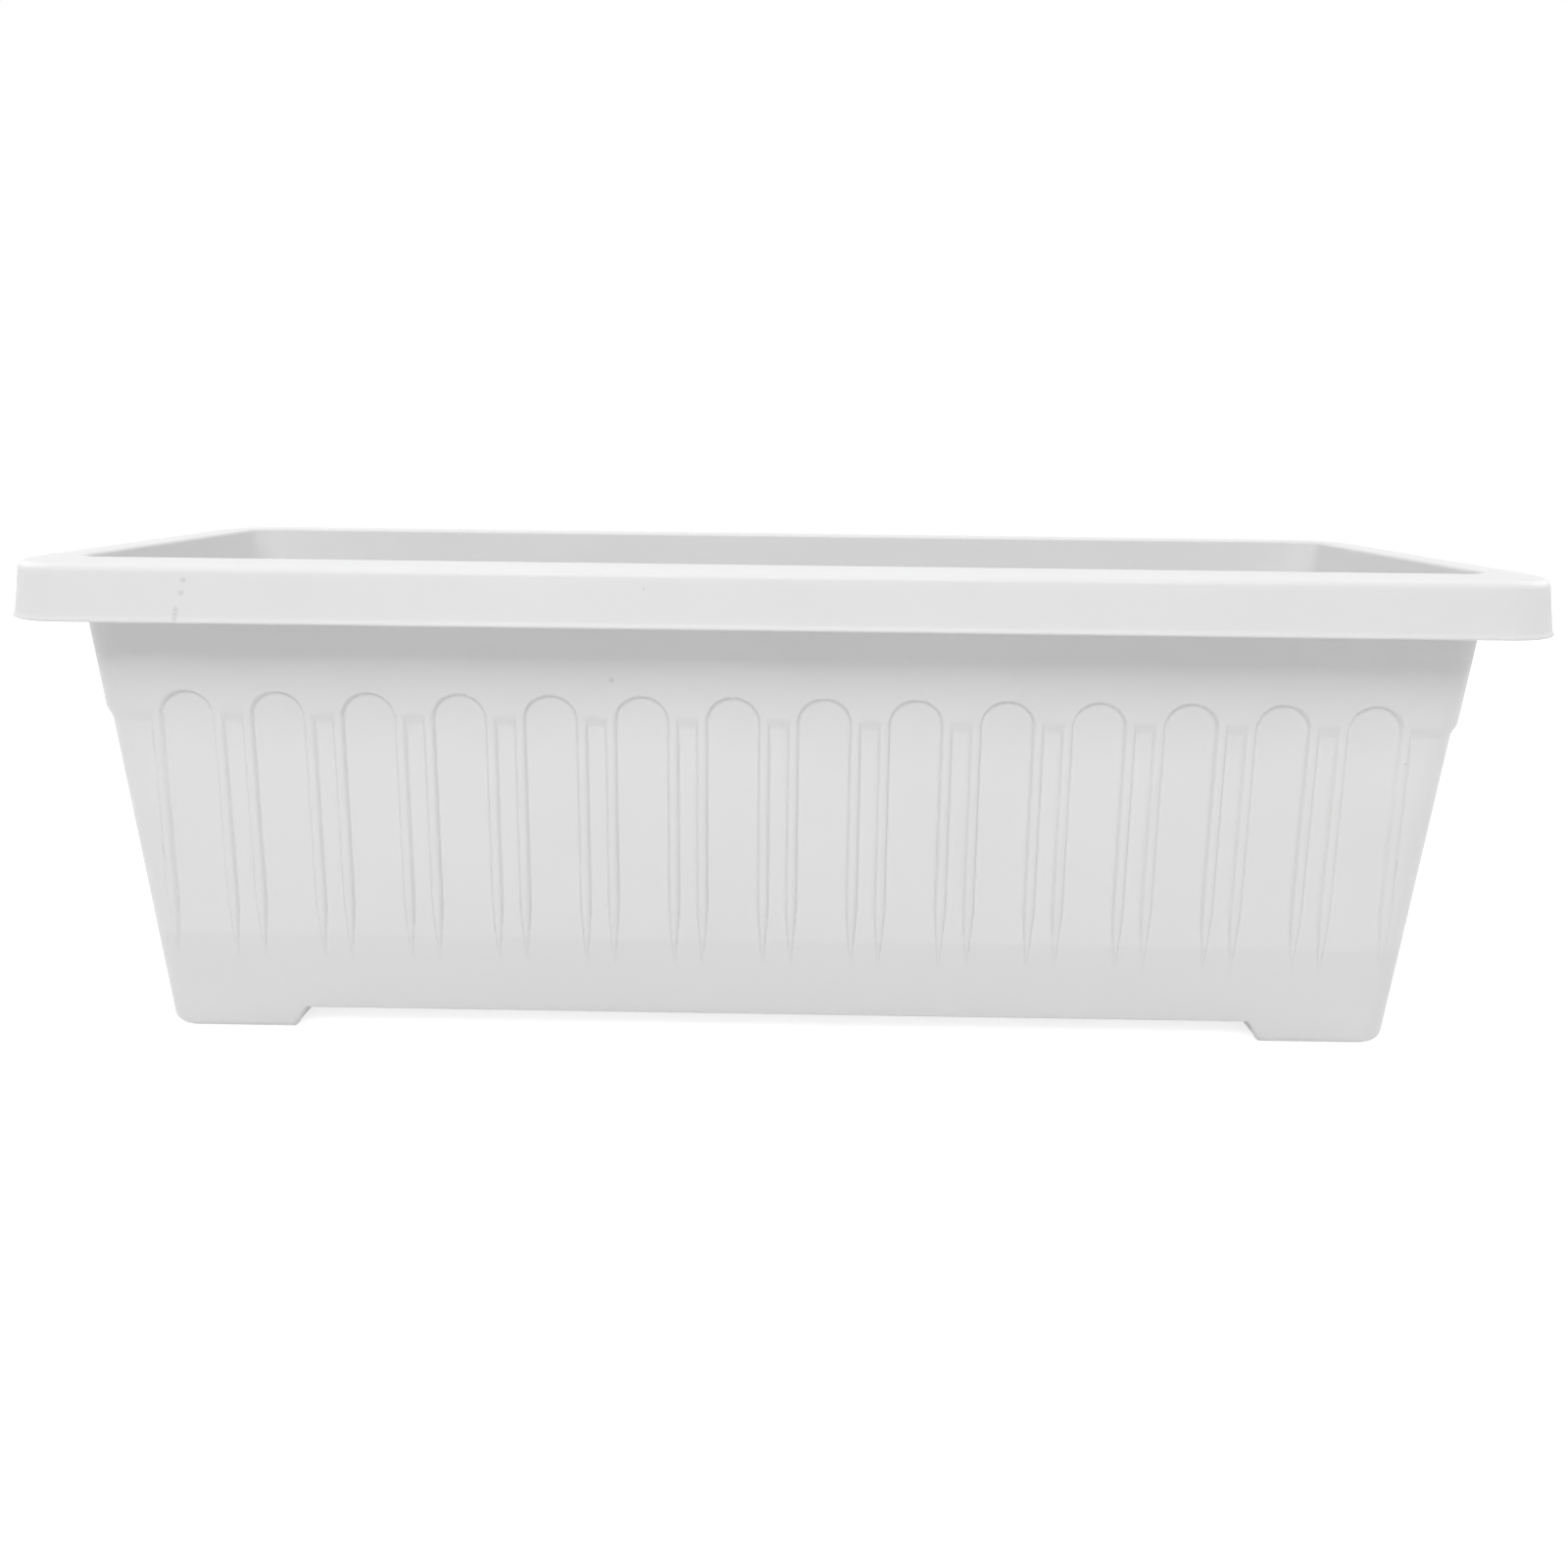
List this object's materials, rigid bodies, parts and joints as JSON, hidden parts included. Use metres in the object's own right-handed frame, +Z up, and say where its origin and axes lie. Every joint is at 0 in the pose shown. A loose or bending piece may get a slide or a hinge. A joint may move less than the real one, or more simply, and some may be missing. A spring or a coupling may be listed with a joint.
{
  "type": "balcony planter",
  "caption": "Long rectangular balcony planter with fluted arches on its leaning walls, a wide down-turned rim, corner feet, lift-out drainage grids and pull-out drain plugs.",
  "frame": {"origin": "on the ground under the middle of the trough, level with the soles of its feet", "axes": "+X along the length, +Z up out of the mouth, the long front wall faces -Y"},
  "size_m": [0.6, 0.205, 0.2],
  "materials": {
    "trough_plastic": "satin",
    "grid_plastic": "satin",
    "plug_rubber": "matte"
  },
  "bodies": {
    "trough": {"trough": "trough_plastic"},
    "drainage_grid_left": {"drainage_grid_left": "grid_plastic"},
    "drainage_grid_right": {"drainage_grid_right": "grid_plastic"},
    "drain_plug_1": {"drain_plug_1": "plug_rubber"},
    "drain_plug_2": {"drain_plug_2": "plug_rubber"},
    "drain_plug_3": {"drain_plug_3": "plug_rubber"},
    "drain_plug_4": {"drain_plug_4": "plug_rubber"},
    "drain_plug_5": {"drain_plug_5": "plug_rubber"},
    "drain_plug_6": {"drain_plug_6": "plug_rubber"}
  },
  "joints": [
    {"name": "grid_left_lift", "type": "slide", "parent": "trough", "child": "drainage_grid_left", "axis": [0, 0, 1], "range_m": [0, 0.19]},
    {"name": "grid_right_lift", "type": "slide", "parent": "trough", "child": "drainage_grid_right", "axis": [0, 0, 1], "range_m": [0, 0.19]},
    {"name": "drain_plug_1_pull", "type": "slide", "parent": "trough", "child": "drain_plug_1", "axis": [0, 0, 1], "range_m": [0, 0.018]},
    {"name": "drain_plug_2_pull", "type": "slide", "parent": "trough", "child": "drain_plug_2", "axis": [0, 0, 1], "range_m": [0, 0.018]},
    {"name": "drain_plug_3_pull", "type": "slide", "parent": "trough", "child": "drain_plug_3", "axis": [0, 0, 1], "range_m": [0, 0.018]},
    {"name": "drain_plug_4_pull", "type": "slide", "parent": "trough", "child": "drain_plug_4", "axis": [0, 0, 1], "range_m": [0, 0.018]},
    {"name": "drain_plug_5_pull", "type": "slide", "parent": "trough", "child": "drain_plug_5", "axis": [0, 0, 1], "range_m": [0, 0.018]},
    {"name": "drain_plug_6_pull", "type": "slide", "parent": "trough", "child": "drain_plug_6", "axis": [0, 0, 1], "range_m": [0, 0.018]}
  ]
}
